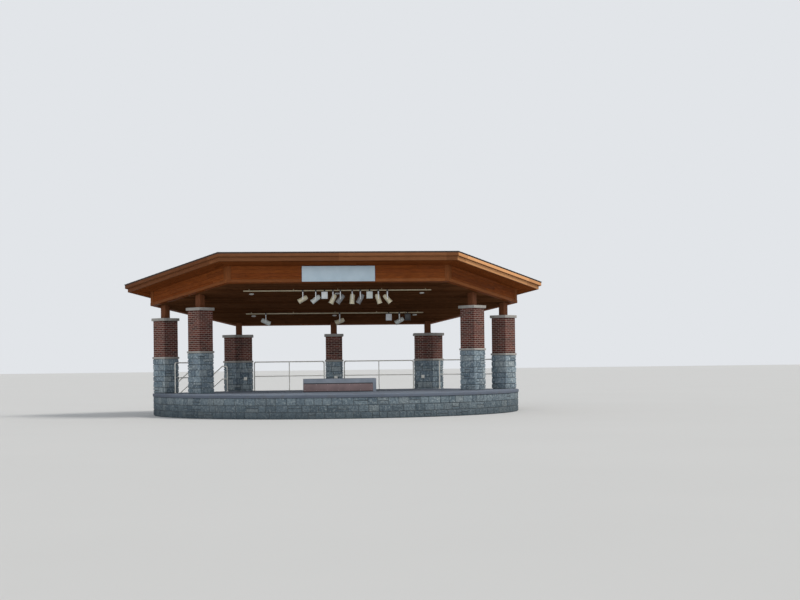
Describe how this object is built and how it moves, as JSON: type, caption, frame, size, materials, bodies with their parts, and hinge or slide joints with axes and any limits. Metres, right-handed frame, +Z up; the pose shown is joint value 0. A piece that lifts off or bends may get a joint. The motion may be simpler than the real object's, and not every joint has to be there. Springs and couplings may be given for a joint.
{
  "type": "bandstand",
  "caption": "Open bandstand: rounded stage, brick piers on stone bases, timber-clad shed roof, guards, a stair and stage lights.",
  "frame": {"origin": "on the ground, midway between the two side piers, on the line where the straight back of the stage meets its rounded apron", "axes": "+X to the right seen from the audience, +Y from the audience to the back, +Z up"},
  "size_m": [15.1306, 10.127, 5.5474],
  "materials": {
    "concrete": null,
    "stone": null,
    "brick": null,
    "limestone": null,
    "stained_timber": "satin stain",
    "trim_timber": "satin stain",
    "roof_boards": "sawn",
    "shingles": "mineral-faced roof covering",
    "rail_paint": "satin paint",
    "bar_steel": "galvanised",
    "lamp_paint": "satin paint",
    "white_plastic": "moulded",
    "sign_face": "satin paint, bare",
    "platform_paint": "painted",
    "platform_board": "painted"
  },
  "bodies": {
    "root": {"stage_fill": "concrete", "stage_slab": "concrete", "apron_wall": "stone", "left_wall": "stone", "back_wall": "stone", "right_wall": "stone", "front_pier_bases": "stone", "side_pier_bases": "stone", "corner_pier_bases": "stone", "centre_pier_base": "stone", "front_pier_brick": "brick", "side_pier_brick": "brick", "corner_pier_brick": "brick", "centre_pier_brick": "brick", "pier_ledges": "limestone", "pier_caps": "limestone", "roof_posts": "stained_timber", "frieze_front": "stained_timber", "frieze_front_left": "stained_timber", "frieze_front_right": "stained_timber", "frieze_back_left": "stained_timber", "frieze_back_right": "stained_timber", "frieze_back": "stained_timber", "frieze_trim": "trim_timber", "ceiling": "stained_timber", "soffit": "stained_timber", "fascia_lower": "stained_timber", "fascia_upper": "stained_timber", "roof_deck": "roof_boards", "roof_covering": "shingles", "stair_step_1": "concrete", "stair_step_2": "concrete", "stair_step_3": "concrete", "stair_step_4": "concrete", "stair_rail_left": "rail_paint", "stair_rail_right": "rail_paint", "guard_left": "rail_paint", "guard_back_left": "rail_paint", "guard_back_right": "rail_paint", "guard_right": "rail_paint", "light_bars": "bar_steel", "stage_lights": "lamp_paint", "downlights": "white_plastic", "sign_panel": "sign_face", "platform": "platform_paint", "platform_front": "platform_board", "outlet_boxes": "white_plastic"}
  },
  "joints": []
}
